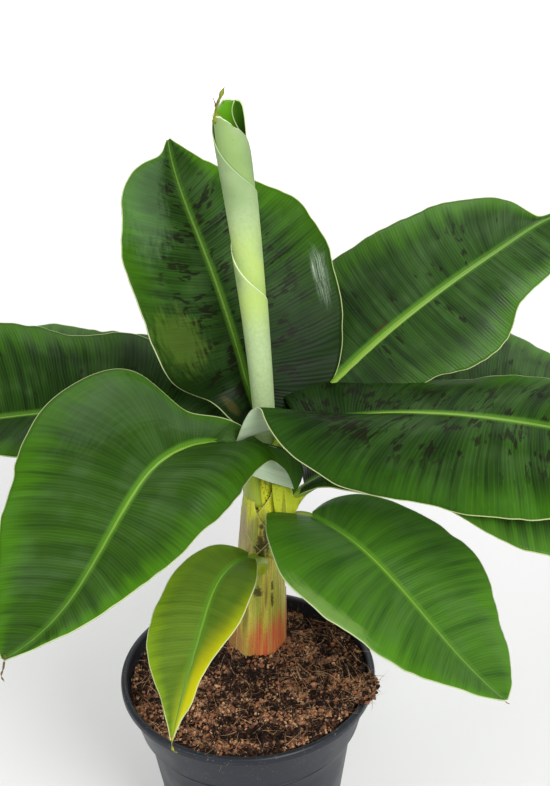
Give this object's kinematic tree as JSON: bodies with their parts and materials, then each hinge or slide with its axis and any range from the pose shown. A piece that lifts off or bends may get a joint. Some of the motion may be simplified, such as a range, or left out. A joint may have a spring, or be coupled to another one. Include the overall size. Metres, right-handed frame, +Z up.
{
  "type": "potted banana plant",
  "caption": "Young banana plant in a dark nursery pot: leaning trunk of leaf sheaths, broad arching stalked leaves all round and a new leaf still rolled up.",
  "frame": {"origin": "centre of the pot's flat underside", "axes": "+Z up; -Y is the side the picture was taken from, +X to its right"},
  "size_m": [0.5455, 0.3064, 0.5345],
  "materials": {
    "pot": "satin",
    "soil": "crumbly matte",
    "trunk": "smooth, slightly waxy",
    "rolled_leaf": "waxy bloom",
    "stalk": "smooth, waxy",
    "blade": "pleated, satin",
    "young_blade": "pleated, satin"
  },
  "bodies": {
    "root": {"pot": "pot", "soil": "soil", "trunk": "trunk", "rolled_leaf": "rolled_leaf", "stalk_back": "stalk", "stalk_backRight": "stalk", "stalk_right": "stalk", "stalk_frontLeft": "stalk", "stalk_left": "stalk", "stalk_small": "stalk", "stalk_lowerRight": "stalk", "stalk_rightUnder": "stalk", "stalk_rightBehind": "stalk", "stalk_backLeft": "stalk", "blade_back": "blade", "blade_backRight": "blade", "blade_right": "blade", "blade_frontLeft": "blade", "blade_left": "blade", "blade_small": "young_blade", "blade_lowerRight": "blade", "blade_rightUnder": "blade", "blade_rightBehind": "blade", "blade_backLeft": "blade"}
  },
  "joints": []
}
